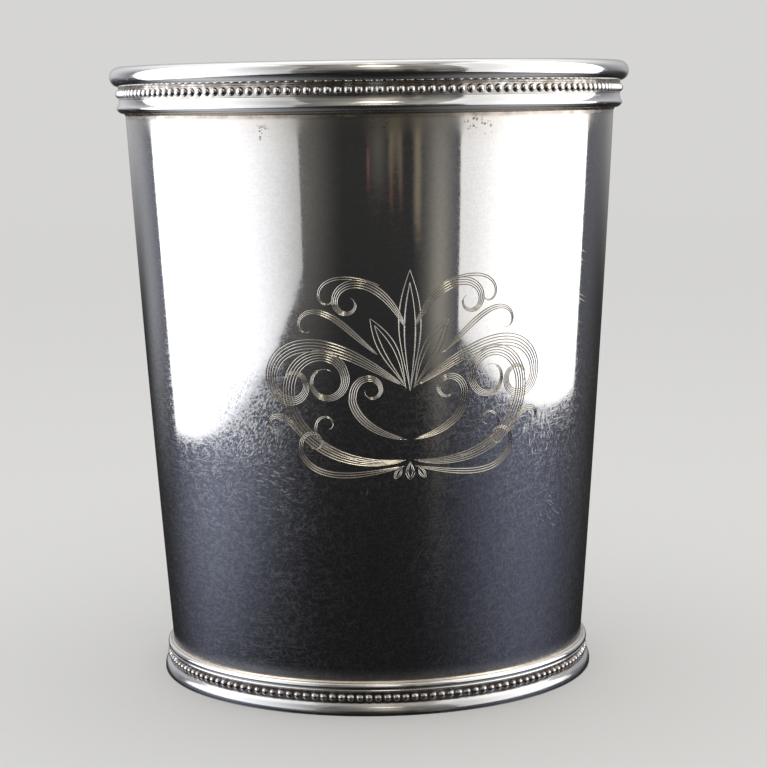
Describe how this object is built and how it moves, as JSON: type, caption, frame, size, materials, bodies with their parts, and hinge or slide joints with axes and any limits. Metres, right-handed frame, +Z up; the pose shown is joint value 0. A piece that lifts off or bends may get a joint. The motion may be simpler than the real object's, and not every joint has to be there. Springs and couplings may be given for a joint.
{
  "type": "julep cup",
  "caption": "Tapered silver beaker with a beaded, half-round rim and a beaded foot ring, engraved on one side with a scroll ornament.",
  "frame": {"origin": "middle of the base, on the surface that the cup stands on", "axes": "+Z up the cup's axis, -Y towards the engraved front"},
  "size_m": [0.081, 0.081, 0.0953],
  "materials": {
    "silver_wall": "polished silver with fine level hairlines and a thin grey tarnish",
    "silver_moulding": "polished silver, darker in the grooves",
    "silver_beads": "polished silver beads with dark tarnish between them",
    "silver_solder": "warm, slightly yellow silver solder"
  },
  "bodies": {
    "root": {"cup_wall": "silver_wall", "bottom_disc": "silver_wall", "bottom_solder_fillet": "silver_solder", "rim_lip_wire": "silver_moulding", "rim_reed_wire": "silver_moulding", "rim_bead_wire": "silver_beads", "rim_cove_moulding": "silver_moulding", "rim_solder_fillet": "silver_solder", "foot_base_ring": "silver_moulding", "foot_bead_wire": "silver_beads", "foot_reed_wire": "silver_moulding", "foot_ovolo_moulding": "silver_moulding", "foot_solder_fillet": "silver_solder"}
  },
  "joints": []
}
